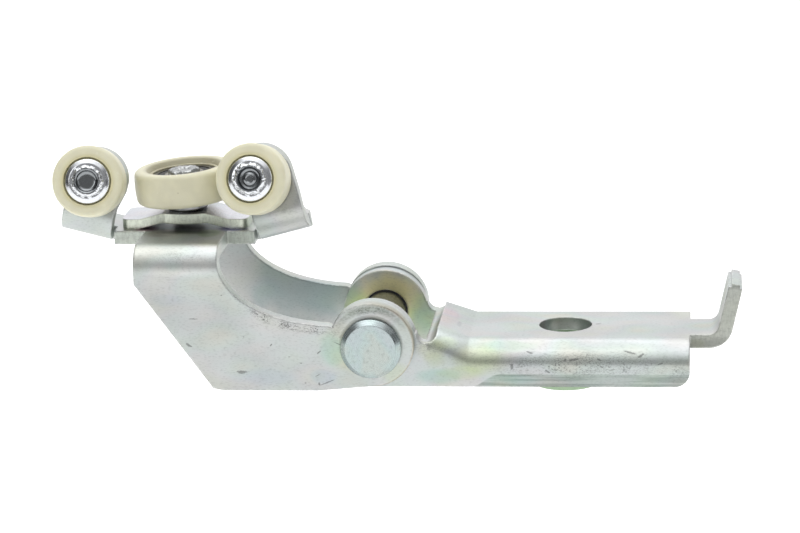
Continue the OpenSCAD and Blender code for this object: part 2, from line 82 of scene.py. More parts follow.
class Signal:
    """A number that varies over a surface, with Python arithmetic that adds Math nodes."""

    def __init__(self, graph: "Graph", socket: bpy.types.NodeSocket) -> None:
        """Wraps an output socket of a graph."""
        self.graph = graph
        self.socket = socket

    def _math(self, operation: str, *values: Union["Signal", float]) -> "Signal":
        """Adds one Math node.

        Args:
            operation: The node's operation.
            values: Its inputs, in order.

        Returns:
            The node's result.
        """
        inputs = {i: v for i, v in enumerate(values)}
        return self.graph.signal("ShaderNodeMath", {"operation": operation}, inputs)

    def __add__(self, other: Union["Signal", float]) -> "Signal":
        """Sum."""
        return self._math("ADD", self, other)

    def __sub__(self, other: Union["Signal", float]) -> "Signal":
        """Difference."""
        return self._math("SUBTRACT", self, other)

    def __rsub__(self, other: float) -> "Signal":
        """Difference with a number on the left."""
        return self._math("SUBTRACT", other, self)

    def __mul__(self, other: Union["Signal", float]) -> "Signal":
        """Product."""
        return self._math("MULTIPLY", self, other)

    def __truediv__(self, other: Union["Signal", float]) -> "Signal":
        """Quotient."""
        return self._math("DIVIDE", self, other)

    def __pow__(self, other: float) -> "Signal":
        """Power."""
        return self._math("POWER", self, other)

    def __abs__(self) -> "Signal":
        """Size without its sign."""
        return self._math("ABSOLUTE", self)

    __radd__ = __add__
    __rmul__ = __mul__

    def largest(self, other: Union["Signal", float]) -> "Signal":
        """The larger of two values."""
        return self._math("MAXIMUM", self, other)

    def smallest(self, other: Union["Signal", float]) -> "Signal":
        """The smaller of two values."""
        return self._math("MINIMUM", self, other)

    def wave(self) -> "Signal":
        """Its sine."""
        return self._math("SINE", self)

    def step(self, low: float, high: float) -> "Signal":
        """A smooth rise from 0 at `low` to 1 at `high`."""
        settings = {"interpolation_type": "SMOOTHSTEP"}
        inputs = {"Value": self, "From Min": low, "From Max": high, "To Min": 0.0, "To Max": 1.0}
        return self.graph.signal("ShaderNodeMapRange", settings, inputs)


class Graph:
    """One set of shader nodes under construction."""

    def __init__(self, name: str, world: bpy.types.World | None = None) -> None:
        """Starts an empty material, or empties a world.

        Args:
            name: The material's name.
            world: The world, when the nodes are for one.
        """
        self.material = world or bpy.data.materials.new(name)
        self.material.use_nodes = True
        self.nodes = self.material.node_tree.nodes
        self.nodes.clear()
        coords = self.node("ShaderNodeTexCoord")
        self.direction = coords.outputs["Generated"]
        scaled = self.node("ShaderNodeVectorMath", {"operation": "SCALE"},
                           {0: coords.outputs["Object"], "Scale": 1 / MM})
        self.place = scaled.outputs[0]
        self.facing = coords.outputs["Normal"]

    def node(self, kind: str, settings: dict | None = None, inputs: dict | None = None) -> bpy.types.Node:
        """Adds any node.

        Args:
            kind: The node's type.
            settings: Its properties, set first; "stops" are a colour ramp's.
            inputs: Values, signals or sockets for its inputs, by name or number.

        Returns:
            The new node.
        """
        made = self.nodes.new(kind)
        for key, value in (settings or {}).items():
            if key == "stops":
                ramp = made.color_ramp
                while len(ramp.elements) < len(value):
                    ramp.elements.new(0.5)
                for element, (at, colour) in zip(ramp.elements, value):
                    element.position, element.color = at, (*colour, 1)
            else:
                setattr(made, key, value)
        for key, value in (inputs or {}).items():
            if isinstance(value, Signal):
                value = value.socket
            if isinstance(value, bpy.types.NodeSocket):
                self.material.node_tree.links.new(value, made.inputs[key])
            elif isinstance(value, tuple) and made.inputs[key].type == "RGBA":
                made.inputs[key].default_value = (*value, 1)
            else:
                made.inputs[key].default_value = value
        return made

    def signal(self, kind: str, settings: dict | None = None, inputs: dict | None = None) -> Signal:
        """Adds a node and wraps its first output."""
        return Signal(self, self.node(kind, settings, inputs).outputs[0])

    def axis(self, index: int, source: bpy.types.NodeSocket | None = None) -> Signal:
        """One coordinate of the place, or of another vector."""
        split = self.node("ShaderNodeSeparateXYZ", None, {0: source or self.place})
        return Signal(self, split.outputs[index])

    def moved(self, centre: Triple, scale: Triple = (1, 1, 1), turn: Triple = (0, 0, 0)) -> bpy.types.NodeSocket:
        """The place seen from a centre, turned and then scaled.

        Args:
            centre: The new origin.
            scale: Factor along each turned axis.
            turn: Rotation of the pattern in degrees.

        Returns:
            The vector's socket.
        """
        spin = tuple(math.radians(a) for a in turn)
        aside = self.node("ShaderNodeVectorMath", {"operation": "SUBTRACT"}, {0: self.place, 1: centre})
        turned = self.node("ShaderNodeVectorRotate", {"rotation_type": "EULER_XYZ", "invert": True},
                           {"Vector": aside.outputs[0], "Rotation": spin})
        scaled = self.node("ShaderNodeVectorMath", {"operation": "MULTIPLY"}, {0: turned.outputs[0], 1: scale})
        return scaled.outputs[0]

    def grain(self, size: float, detail: float = 2.0, stretch: Triple = (1, 1, 1),
              roughness: float = 0.5, seed: float = 0.0) -> Signal:
        """Cloudy noise.

        Args:
            size: Size of its clouds in millimetres.
            detail: Number of finer layers.
            stretch: How much longer the clouds are along each axis.
            roughness: Strength of the finer layers.
            seed: Shift of the pattern.

        Returns:
            Values round 0.5.
        """
        scale = tuple(1 / s for s in stretch)
        inputs = {"Vector": self.moved((seed, seed, seed), scale), "Scale": 1 / size,
                  "Detail": detail, "Roughness": roughness}
        return self.signal("ShaderNodeTexNoise", {"noise_dimensions": "3D"}, inputs)

    def cells(self, size: float, stretch: Triple = (1, 1, 1)) -> Signal:
        """Distance to the nearest of many scattered points, over their spacing."""
        scale = tuple(1 / s for s in stretch)
        inputs = {"Vector": self.moved((0, 0, 0), scale), "Scale": 1 / size}
        return self.signal("ShaderNodeTexVoronoi", {"feature": "F1"}, inputs)

    def blob(self, centre: Triple, radii: Triple, turn: Triple = (0, 0, 0), soft: float = 0.6) -> Signal:
        """A soft spot.

        Args:
            centre: Its middle.
            radii: Its half sizes.
            turn: Its rotation in degrees.
            soft: The share of the radius over which it fades.

        Returns:
            1 inside and 0 outside.
        """
        scale = tuple(1 / r for r in radii)
        length = self.node("ShaderNodeVectorMath", {"operation": "LENGTH"}, {0: self.moved(centre, scale, turn)})
        return 1 - Signal(self, length.outputs["Value"]).step(1 - soft, 1.0)

    def mix(self, first: Union[Triple, Signal], second: Union[Triple, Signal], mask: Signal | float) -> Signal:
        """A blend of two colours."""
        blend = self.node("ShaderNodeMix", {"data_type": "RGBA"}, {0: mask, 6: first, 7: second})
        return Signal(self, blend.outputs[2])

    def tint(self, base: Union[Triple, Signal], colour: Triple, mask: Signal | float) -> Signal:
        """A colour multiplied by another where a mask says so."""
        blend = self.node("ShaderNodeMix", {"data_type": "RGBA", "blend_type": "MULTIPLY"},
                          {0: mask, 6: base, 7: colour})
        return Signal(self, blend.outputs[2])

    def ramp(self, value: Signal, stops: Sequence[tuple[float, Triple]]) -> Signal:
        """A colour for each value."""
        return self.signal("ShaderNodeValToRGB", {"stops": stops}, {0: value})

    def rounded(self, radius: float) -> bpy.types.NodeSocket:
        """The normal of the surface with its edges rounded by a radius."""
        return self.node("ShaderNodeBevel", {"samples": 6}, {"Radius": radius * MM}).outputs[0]

    def edges(self, radius: float) -> Signal:
        """A mask of the band along convex and concave edges."""
        plain = self.node("ShaderNodeNewGeometry").outputs["Normal"]
        dot = self.node("ShaderNodeVectorMath", {"operation": "DOT_PRODUCT"}, {0: plain, 1: self.rounded(radius)})
        return (1 - Signal(self, dot.outputs["Value"])).step(0.0, 0.12)

    def bumpy(self, height: Signal, strength: float, depth: float,
              normal: bpy.types.NodeSocket | None = None) -> bpy.types.NodeSocket:
        """A normal from a height.

        Args:
            height: The relief.
            strength: Its share, 0 to 1.
            depth: The relief's depth in millimetres.
            normal: The normal that it disturbs.

        Returns:
            The new normal's socket.
        """
        inputs = {"Height": height, "Strength": strength, "Distance": depth * MM}
        if normal:
            inputs["Normal"] = normal
        return self.node("ShaderNodeBump", None, inputs).outputs[0]

    def finish(self, fixed: dict | None = None, **varying: Union[Signal, bpy.types.NodeSocket, Triple, float]
               ) -> bpy.types.Material:
        """Adds the shader and the output.

        Args:
            fixed: Values that are the same all over, by socket name.
            varying: Inputs by socket name, with a low line for a space.

        Returns:
            The material.
        """
        inputs = {key.replace("_", " "): value for key, value in varying.items()} | (fixed or {})
        shader = self.node("ShaderNodeBsdfPrincipled", None, inputs)
        self.node("ShaderNodeOutputMaterial", None, {"Surface": shader.outputs[0]})
        return self.material


@dataclass(frozen=True)
class Patch:
    """A soft patch on the zinc: a zone, or a tint that is its own colour, a painted highlight or painted shade."""

    centre: Triple
    radii: Triple
    colour: Triple
    strength: float
    turn: Triple = (0, 0, 0)


@dataclass(frozen=True)
class Scratch:
    """A short dark scratch or dent on a sheet."""

    centre: Triple
    half_length: float
    half_width: float
    lean: float = 0.0


@dataclass(frozen=True)
class SheetZinc:
    """Bright zinc on pressed sheet: grey with a faint coloured sheen, speckled where it was bent."""

    name: str
    base: Triple = (0.555, 0.575, 0.555)
    roughness: float = 0.42
    sheen: float = 0.5
    edge_radius: float = 0.7
    cut_edge: Triple = (0.56, 0.61, 0.54)
    flat_plate: bool = False
    # Top of a darker streaky band low on the wall, a painted shade; None for no band.
    shaded_band_top: float | None = None
    cut_share: float = 0.75
    cut_zones: tuple[Patch, ...] = ()
    tints_and_painted_light: tuple[Patch, ...] = ()
    scratches: tuple[Scratch, ...] = ()
    speckles: tuple[Patch, ...] = ()

    def _scratches(self, graph: Graph) -> Signal | float:
        """A mask of all the scratches, with ragged outlines."""
        ragged = (graph.grain(0.6, 3.0) - 0.5) * 1.3
        total: Signal | float = 0.0
        for mark in self.scratches:
            scale = (1 / mark.half_length, 1 / 3.0, 1.5 / mark.half_width)
            at = graph.moved(mark.centre, scale, (0, mark.lean, 0))
            length = graph.node("ShaderNodeVectorMath", {"operation": "LENGTH"}, {0: at})
            spot = 1 - (Signal(graph, length.outputs["Value"]) + ragged).step(0.6, 1.0)
            total = spot if isinstance(total, float) else total.largest(spot)
        return total

    def _speckle(self, graph: Graph) -> Signal | float:
        """A mask of the fine dark grain in the stretched zones."""
        fine = (graph.grain(0.34, 2.0, (1.5, 1, 0.8), 0.7) * 0.75 + graph.grain(3.2, 2.0) * 0.25).step(0.49, 0.62)
        total: Signal | float = 0.0
        for zone in self.speckles:
            spot = graph.blob(zone.centre, zone.radii, zone.turn, 0.75) * zone.strength
            total = spot if isinstance(total, float) else total.largest(spot)
        return fine * total

    def build(self, extra: Callable[[Graph, Signal], Signal] | None = None) -> bpy.types.Material:
        """Makes the material.

        Args:
            extra: Something that changes the colour last.

        Returns:
            The material.
        """
        graph = Graph(self.name)
        clouds = graph.grain(16, 2.0, (1.6, 1, 1))
        film = graph.ramp(graph.grain(11, 1.5, (1.5, 1, 1), seed=40), (
            (0.30, (0.97, 0.92, 0.80)), (0.42, (0.84, 0.97, 0.93)), (0.5, (0.86, 0.92, 1.0)),
            (0.58, (0.97, 0.90, 0.98)), (0.70, (1.0, 0.97, 0.88))))
        colour = graph.mix(self.base, tuple(c * 0.90 for c in self.base), clouds.step(0.35, 0.7))
        film_node = graph.node("ShaderNodeMix", {"data_type": "RGBA", "blend_type": "MULTIPLY"},
                               {0: self.sheen, 6: colour, 7: film})
        colour = Signal(graph, film_node.outputs[2])
        wander = (graph.grain(7, 2.0, seed=11) - 0.5) * 0.7
        # Soft patches: tints of the zinc's own colour, plus painted highlights and painted shade.
        for patch in self.tints_and_painted_light:
            spot = (graph.blob(patch.centre, patch.radii, patch.turn, 0.9) + wander).step(0.25, 0.9)
            colour = graph.tint(colour, patch.colour, spot * patch.strength)
        sideways = abs(graph.axis(1, graph.facing))
        upright = abs(graph.axis(2, graph.facing))
        if self.flat_plate:
            cut = 1 - upright.step(0.50, 0.70)
        else:
            cut = (1 - sideways.step(0.10, 0.22)) * (1 - upright.step(0.86, 0.93))
        cut = cut * self.cut_share
        for zone in self.cut_zones:
            cut = cut.largest(graph.blob(zone.centre, zone.radii, zone.turn, 0.1) * sideways.step(0.6, 0.8) * zone.strength)
        shear = graph.grain(0.6, 2.0, (1, 9, 3))
        cut_colour = graph.mix(self.cut_edge, tuple(c * 0.74 for c in self.cut_edge), shear.step(0.38, 0.70) * 0.7)
        colour = graph.mix(colour, cut_colour, cut)
        worn = graph.edges(self.edge_radius) * graph.grain(1.6, 3.0).step(0.40, 0.62)
        colour = graph.mix(colour, (0.82, 0.83, 0.81), worn * 0.6)
        fine = graph.grain(0.35, 2.0, (2.5, 1, 1))
        colour = graph.tint(colour, (0.86, 0.86, 0.86), fine.step(0.5, 0.75))
        speckle, marks = self._speckle(graph), self._scratches(graph)
        colour = graph.mix(colour, (0.13, 0.135, 0.13), speckle * 0.62)
        colour = graph.mix(colour, (0.15, 0.155, 0.15), marks * 0.65 if isinstance(marks, Signal) else 0.0)
        # Painted shade: a darker band low on the wall, with darker streaks.
        band: Signal | float = 0.0
        if self.shaded_band_top is not None:
            droop = (1 - graph.axis(0).step(-29, -18)) * 5.0
            band = (1 - (graph.axis(2) + droop).step(self.shaded_band_top - 0.25, self.shaded_band_top + 0.25)) * sideways.step(0.8, 0.9)
            streak = graph.grain(0.9, 2.0, (30, 1, 1), seed=21).step(0.44, 0.60)
            colour = graph.tint(colour, (0.80, 0.83, 0.80), band)
            colour = graph.tint(colour, (0.62, 0.66, 0.63), band * streak * 0.7)
            swell = graph.axis(2).step(-7.4, -0.2) * graph.axis(0).step(-38, -22)
        if extra:
            colour = extra(graph, colour)
        rough = self.roughness + (fine - 0.5) * 0.16 + (clouds - 0.5) * 0.10 + cut * 0.12 + speckle * 0.15
        relief = fine * 0.5 + graph.grain(1.8, 2.0) * 0.5 - speckle * 1.2
        if isinstance(marks, Signal):
            relief = relief - marks * 2.0
        relief = relief - cut * shear * 0.8 - band * 3.0
        normal = graph.rounded(self.edge_radius)
        if self.shaded_band_top is not None:
            normal = graph.bumpy(1 - swell, 1.0, 1.3, normal)
        normal = graph.bumpy(relief, 0.5, 0.03, normal)
        return graph.finish({"Metallic": 1.0}, Base_Color=colour, Roughness=rough, Normal=normal)


@dataclass(frozen=True)
class TurnedSteel:
    """Turned or peened steel round an axis: fine rings, ragged wear and dark corners."""

    name: str
    base: Triple
    roughness: float
    centre: Triple
    axis: Triple
    ring: float = 0.35
    mottle: float = 0.3
    dirt: float = 0.4
    tinted: bool = False
    edge_radius: float = 0.25
    relief: float = 0.3
    # Height along the axis below which the steel is darker.
    darker_below: float | None = None
    # Radius inside which a rivet head's crater gets painted shade; 0 for none.
    crater_shade_radius: float = 0.0
    skin: float = 1.0

    def build(self) -> bpy.types.Material:
        """Makes the material."""
        graph = Graph(self.name)
        turn = Vector((0, 0, 1)).rotation_difference(Vector(self.axis)).to_euler()
        at = graph.moved(self.centre, (1, 1, 1), tuple(math.degrees(a) for a in turn))
        flat = graph.node("ShaderNodeVectorMath", {"operation": "MULTIPLY"}, {0: at, 1: (1, 1, 0)})
        length = graph.node("ShaderNodeVectorMath", {"operation": "LENGTH"}, {0: flat.outputs[0]})
        radius = Signal(graph, length.outputs["Value"])
        rings = ((radius + graph.grain(3.0, 1.0) * 0.4) * (2 * math.pi / self.ring)).wave() * 0.5 + 0.5
        mottle = graph.grain(1.1, 3.0, roughness=0.65)
        colour = graph.mix(self.base, tuple(c * 0.55 for c in self.base), mottle.step(0.52, 0.72) * self.mottle)
        colour = graph.tint(colour, (0.9, 0.9, 0.9), rings * 0.5)
        if self.tinted:
            film = graph.ramp(graph.grain(8.0, 2.0, seed=9), (
                (0.34, (1.0, 0.93, 0.80)), (0.46, (0.80, 0.98, 0.94)), (0.56, (0.84, 0.90, 1.0)),
                (0.68, (0.98, 0.88, 0.98))))
            blend = graph.node("ShaderNodeMix", {"data_type": "RGBA", "blend_type": "MULTIPLY"},
                               {0: 0.3, 6: colour, 7: film})
            colour = Signal(graph, blend.outputs[2])
        # Darker below this height along the axis.
        if self.darker_below is not None:
            colour = graph.tint(colour, (0.20, 0.20, 0.19), 1 - graph.axis(2, at).step(self.darker_below, self.darker_below + 0.2))
        # Painted shade in the crater of a rivet's head, inside this radius.
        if self.crater_shade_radius:
            wobble = (graph.grain(1.0, 2.0, seed=2) - 0.5) * 0.8
            colour = graph.tint(colour, (0.36, 0.37, 0.37), 1 - (radius + wobble).step(self.crater_shade_radius - 0.35, self.crater_shade_radius + 0.1))
        dark_grain = graph.edges(self.edge_radius * 1.6) * graph.grain(0.9, 3.0, seed=5).step(0.40, 0.60)
        colour = graph.mix(colour, (0.07, 0.07, 0.065), dark_grain * self.dirt)
        rough = self.roughness + (mottle - 0.5) * 0.3 + rings * 0.06
        normal = graph.bumpy(rings * self.relief + mottle * self.skin, 0.4, 0.04, graph.rounded(self.edge_radius))
        return graph.finish({"Metallic": 1.0}, Base_Color=colour, Roughness=rough, Normal=normal)


@dataclass(frozen=True)
class IvoryNylon:
    """Cast ivory nylon of a roller: slightly glossy, yellower and worn in places."""

    name: str
    centre: Triple
    axis: Triple
    hub_radius: float
    rim_radius: float
    base: Triple = (0.74, 0.715, 0.53)
    hub: Triple = (0.62, 0.575, 0.33)

    def build(self) -> bpy.types.Material:
        """Makes the material."""
        graph = Graph(self.name)
        turn = Vector((0, 0, 1)).rotation_difference(Vector(self.axis)).to_euler()
        at = graph.moved(self.centre, (1, 1, 1), tuple(math.degrees(a) for a in turn))
        flat = graph.node("ShaderNodeVectorMath", {"operation": "MULTIPLY"}, {0: at, 1: (1, 1, 0)})
        length = graph.node("ShaderNodeVectorMath", {"operation": "LENGTH"}, {0: flat.outputs[0]})
        radius = Signal(graph, length.outputs["Value"])
        inner = 1 - radius.step(self.hub_radius, self.hub_radius + 0.45 * (self.rim_radius - self.hub_radius))
        clouds = graph.grain(5.0, 2.0)
        colour = graph.mix(self.base, tuple(c * 0.94 for c in self.base), clouds.step(0.35, 0.65))
        colour = graph.mix(colour, self.hub, inner * 0.85)
        scuffs = graph.grain(1.2, 3.0, (1, 1, 1), 0.7, 3.0).step(0.66, 0.74)
        colour = graph.mix(colour, (0.86, 0.85, 0.74), scuffs * 0.5)
        specks = (1 - graph.cells(5.5).step(0.03, 0.06)) * 0.7
        colour = graph.mix(colour, (0.30, 0.24, 0.14), specks)
        edge = graph.edges(0.35) * graph.grain(1.5, 2.0, seed=7).step(0.45, 0.65)
        colour = graph.mix(colour, (0.88, 0.86, 0.74), edge * 0.4)
        lathe = ((radius + graph.grain(4.0, 1.0) * 0.3) * (2 * math.pi / 0.5)).wave() * 0.5 + 0.5
        rough = 0.42 + (clouds - 0.5) * 0.14 + scuffs * 0.2
        normal = graph.bumpy(lathe * 0.25 + graph.grain(0.8, 3.0) * 0.8 + scuffs * 0.4, 0.35, 0.03,
                             graph.rounded(0.3))
        fixed = {"Subsurface Weight": 0.18, "Subsurface Radius": (0.8, 0.7, 0.45), "Subsurface Scale": 0.0012,
                 "IOR": 1.52}
        return graph.finish(fixed, Base_Color=colour, Roughness=rough, Normal=normal)


@dataclass(frozen=True)
class BlackBush:
    """Matt black bearing bush."""

    name: str = "bush_black"
    base: Triple = (0.018, 0.018, 0.019)

    def build(self) -> bpy.types.Material:
        """Makes the material."""
        graph = Graph(self.name)
        grain = graph.grain(0.7, 3.0)
        colour = graph.mix(self.base, (0.07, 0.068, 0.062), grain.step(0.5, 0.75))
        normal = graph.bumpy(grain, 0.4, 0.03, graph.rounded(0.15))
        return graph.finish(Base_Color=colour, Roughness=0.5 + (grain - 0.5) * 0.2, Normal=normal)


@dataclass
class Spot:
    """A place and direction that turned pieces are drawn on: Z along the axis."""

    origin: Vector
    axis: Vector

    @classmethod
    def of_joint(cls, joints: Sequence[dict], name: str) -> "Spot":
        """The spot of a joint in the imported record."""
        joint = next(j for j in joints if j["name"] == name)
        return cls(Vector(joint["pos_m"]) / MM, Vector(joint["axis"]).normalized())

    def matrix(self) -> Matrix:
        """From the spot's millimetres to the frame's metres."""
        turn = Vector((0, 0, 1)).rotation_difference(self.axis).to_matrix().to_4x4()
        return Matrix.Scale(MM, 4) @ Matrix.Translation(self.origin) @ turn


class Workshop:
    """Makes finished pieces from meshes that are drawn in millimetres."""

    @staticmethod
    def lathe(profile: Profile, steps: int = 128) -> bmesh.types.BMesh:
        """Spins a closed or axis-to-axis outline round Z.

        Args:
            profile: Radius and height of each point.
            steps: Number of steps in the turn.

        Returns:
            The mesh.
        """
        mesh = bmesh.new()
        points = [mesh.verts.new((r, 0, z)) for r, z in profile]
        lines = [mesh.edges.new(pair) for pair in zip(points, points[1:])]
        if profile[0][0] > 1e-6:
            lines.append(mesh.edges.new((points[-1], points[0])))
        bmesh.ops.spin(mesh, geom=points + lines, cent=(0, 0, 0), axis=(0, 0, 1), angle=2 * math.pi,
                       steps=steps, use_merge=True)
        bmesh.ops.remove_doubles(mesh, verts=mesh.verts, dist=1e-5)
        bmesh.ops.recalc_face_normals(mesh, faces=mesh.faces)
        return mesh

    @staticmethod
    def rounded(profile: Profile, radii: Sequence[float], steps: int = 5) -> list[tuple[float, float]]:
        """Rounds the corners of an outline.

        Args:
            profile: Radius and height of each corner.
            radii: Size of the round at each corner, 0 for a sharp one.
            steps: Number of points in a round.

        Returns:
            The new outline.
        """
        out: list[tuple[float, float]] = []
        count = len(profile)
        for i, (corner, size) in enumerate(zip(profile, radii)):
            here = Vector(corner)
            if size <= 0 or (i in (0, count - 1) and profile[0][0] < 1e-6):
                out.append(corner)
                continue
            back = Vector(profile[i - 1]) - here
            ahead = Vector(profile[(i + 1) % count]) - here
            start = here + back.normalized() * min(size, back.length * 0.49)
            end = here + ahead.normalized() * min(size, ahead.length * 0.49)
            for k in range(steps + 1):
                t = k / steps
                point = start * (1 - t) ** 2 + here * (2 * t * (1 - t)) + end * t * t
                out.append((point.x, point.y))
        return out

    @staticmethod
    def place(mesh: bmesh.types.BMesh, spot: Spot, name: str, body: str, slot: str,
              material: bpy.types.Material, replaces: str | None = None) -> bpy.types.Object:
        """Turns a drawn mesh into a piece of the part.

        Args:
            mesh: The mesh in the spot's millimetres.
            spot: Where it goes.
            name: The piece's name.
            body: The body that it rides on.
            slot: The record's material slot; not used.
            material: Its material.
            replaces: The node that it stands for.

        Returns:
            The piece.
        """
        bmesh.ops.transform(mesh, matrix=spot.matrix(), verts=mesh.verts)
        data = bpy.data.meshes.new(name)
        mesh.to_mesh(data)
        mesh.free()
        data.shade_smooth()
        data.set_sharp_from_angle(angle=math.radians(38))
        piece = bpy.data.objects.new(name, data)
        bpy.context.scene.collection.objects.link(piece)
        data.materials.append(material)
        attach(piece, body)
        if replaces:
            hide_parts(replaces)
        log.info("%s: %d faces on %s", name, len(data.polygons), body)
        return piece


def dress(node: bpy.types.Object, material: bpy.types.Material) -> None:
    """Gives a node of the frame its material, in every slot it has."""
    if not node.material_slots:
        node.data.materials.append(material)
    for held in node.material_slots:
        held.material = material
    log.info("%s: %s", node.name, material.name)


@dataclass
class HingeArm:
    """The pressed hinge arm with its spacer tube and its two bushes."""

    hinge_x: float = -55.0
    band_z: float = -9.4
    tints_and_painted_light: tuple[Patch, ...] = (
        Patch((-55, 15.55, 3), (19, 1.6, 15), (1.56, 1.42, 0.84), 1.0),
        Patch((-65, 15.55, 2), (9, 1.6, 12), (0.80, 0.92, 0.76), 1.0),
        Patch((-44, 15.55, -2), (8, 1.6, 13), (0.78, 0.92, 0.70), 1.0),
        Patch((9.6, 0.5, 0), (1.7, 0.7, 1.5), (0.45, 0.45, 0.45), 1.0, (0, 0, 12)),
        Patch((-34.5, 0, 3), (7.5, 24, 5), (1.03, 0.90, 0.95), 1.0),
        Patch((-31.0, -4, 2), (1.4, 5, 4), (0.84, 0.84, 0.85), 0.8),
        # Painted shade: a dark strip at the lip that stands in for the shade in a gap.
        Patch((-38.5, 0, 1.2), (2.2, 15, 1.7), (0.16, 0.20, 0.15), 1.0),
        Patch((-38, -19, -2), (9, 3, 7), (1.0, 0.99, 0.84), 0.9),
        Patch((-36, -19, -10), (12, 4, 4.5), (0.76, 0.91, 0.86), 0.9),
        Patch((-24, -19, -5), (15, 5, 8), (1.0, 1.0, 0.80), 1.0),
        Patch((-16, -18, -1), (16, 5, 4), (0.90, 1.04, 0.96), 0.7),
        Patch((-14, -19, -11), (14, 3, 2.5), (0.90, 1.0, 1.0), 0.8),
        Patch((-30, -19, -9), (12, 4, 4), (0.94, 0.98, 0.80), 0.9),
        Patch((38.5, -11, -2.6), (4, 3, 2.4), (0.96, 0.98, 0.66), 0.9),
        Patch((34.5, -11, -2.6), (3, 3, 2.4), (0.50, 0.80, 0.95), 0.9),
        # Painted shade: the long bend darkened to tone down its highlight.
        Patch((0, -17, -1.4), (60, 3, 2.8), (0.87, 0.87, 0.86), 1.0),
        # Painted highlight on the slanted bend beside the lip.
        Patch((-34, -18, -0.6), (7, 4, 4), (1.22, 1.24, 1.10), 1.0),
        # Painted shade on the tab's upright, mostly on its inner face.
        Patch((47, -8, 19), (6, 6, 4), (0.78, 0.78, 0.76), 0.8),
        Patch((46.3, -2, 9), (3.4, 14, 11), (0.74, 0.75, 0.71), 1.0),
        Patch((-37, -19, -5), (7, 3, 5), (0.91, 0.92, 0.84), 0.9),
        # Painted light: the upper part of the back ear brightened.
        Patch((-55, 18, 13.5), (17, 3.5, 9), (1.14, 1.17, 1.18), 0.8),
    )
    scratches: tuple[Scratch, ...] = (
        Scratch((-14.7, -19.0, -7.1), 0.5, 1.7, 4), Scratch((-9.4, -19.0, -3.2), 1.3, 0.5, 14),
        Scratch((-4.3, -19.0, -8.6), 1.1, 0.5, 35), Scratch((0.7, -19.0, -5.2), 0.5, 1.0, 20),
        Scratch((3.3, -19.0, -5.1), 1.9, 0.6, -8), Scratch((19.4, -19.0, -3.1), 2.2, 0.5, 14),
        Scratch((22.5, -19.0, -4.0), 1.2, 0.6, -35), Scratch((-40.5, -19, 2.0), 1.6, 0.5, 25),
        Scratch((10.5, -19.0, -5.0), 0.8, 0.5, 30), Scratch((28.0, -19.0, -6.2), 1.2, 0.4, -20),
    )
    speckles: tuple[Patch, ...] = (
        Patch((5, -18.8, -6.6), (44, 4.5, 4.8), (0, 0, 0), 1.0),
        Patch((-24, -18.8, -5.0), (14, 4, 5), (0, 0, 0), 0.35),
        Patch((-38, -19, -1.5), (8, 3, 3.5), (0, 0, 0), 0.7),
        Patch((33, -19, -8.5), (6, 3, 4), (0, 0, 0), 0.7),
        Patch((4, 18.5, -5.8), (30, 3.5, 3.6), (0, 0, 0), 0.8),
    )

    def dress(self, nodes: dict[str, bpy.types.Object]) -> None:
        """Gives the arm's own nodes their finishes."""
        sheet = SheetZinc("arm_zinc", sheen=0.45, edge_radius=0.8, tints_and_painted_light=self.tints_and_painted_light,
                          scratches=self.scratches, speckles=self.speckles, shaded_band_top=self.band_z,
                          cut_edge=(0.46, 0.48, 0.43), cut_share=0.15,
                          cut_zones=(Patch((60, -11, 8), (60, 1.5, 60), (0, 0, 0), 0.8),))
        dress(nodes["hinge_arm"], sheet.build())
        tube = TurnedSteel("tube_zinc", (0.35, 0.47, 0.32), 0.4, (0, 0, 0), (0, 0, 1), 0.9, 0.3, 0.2)
        dress(nodes["spacer_tube"], tube.build())
        bush = BlackBush().build()
        for name in ("front_bush", "back_bush"):
            dress(nodes[name], bush)


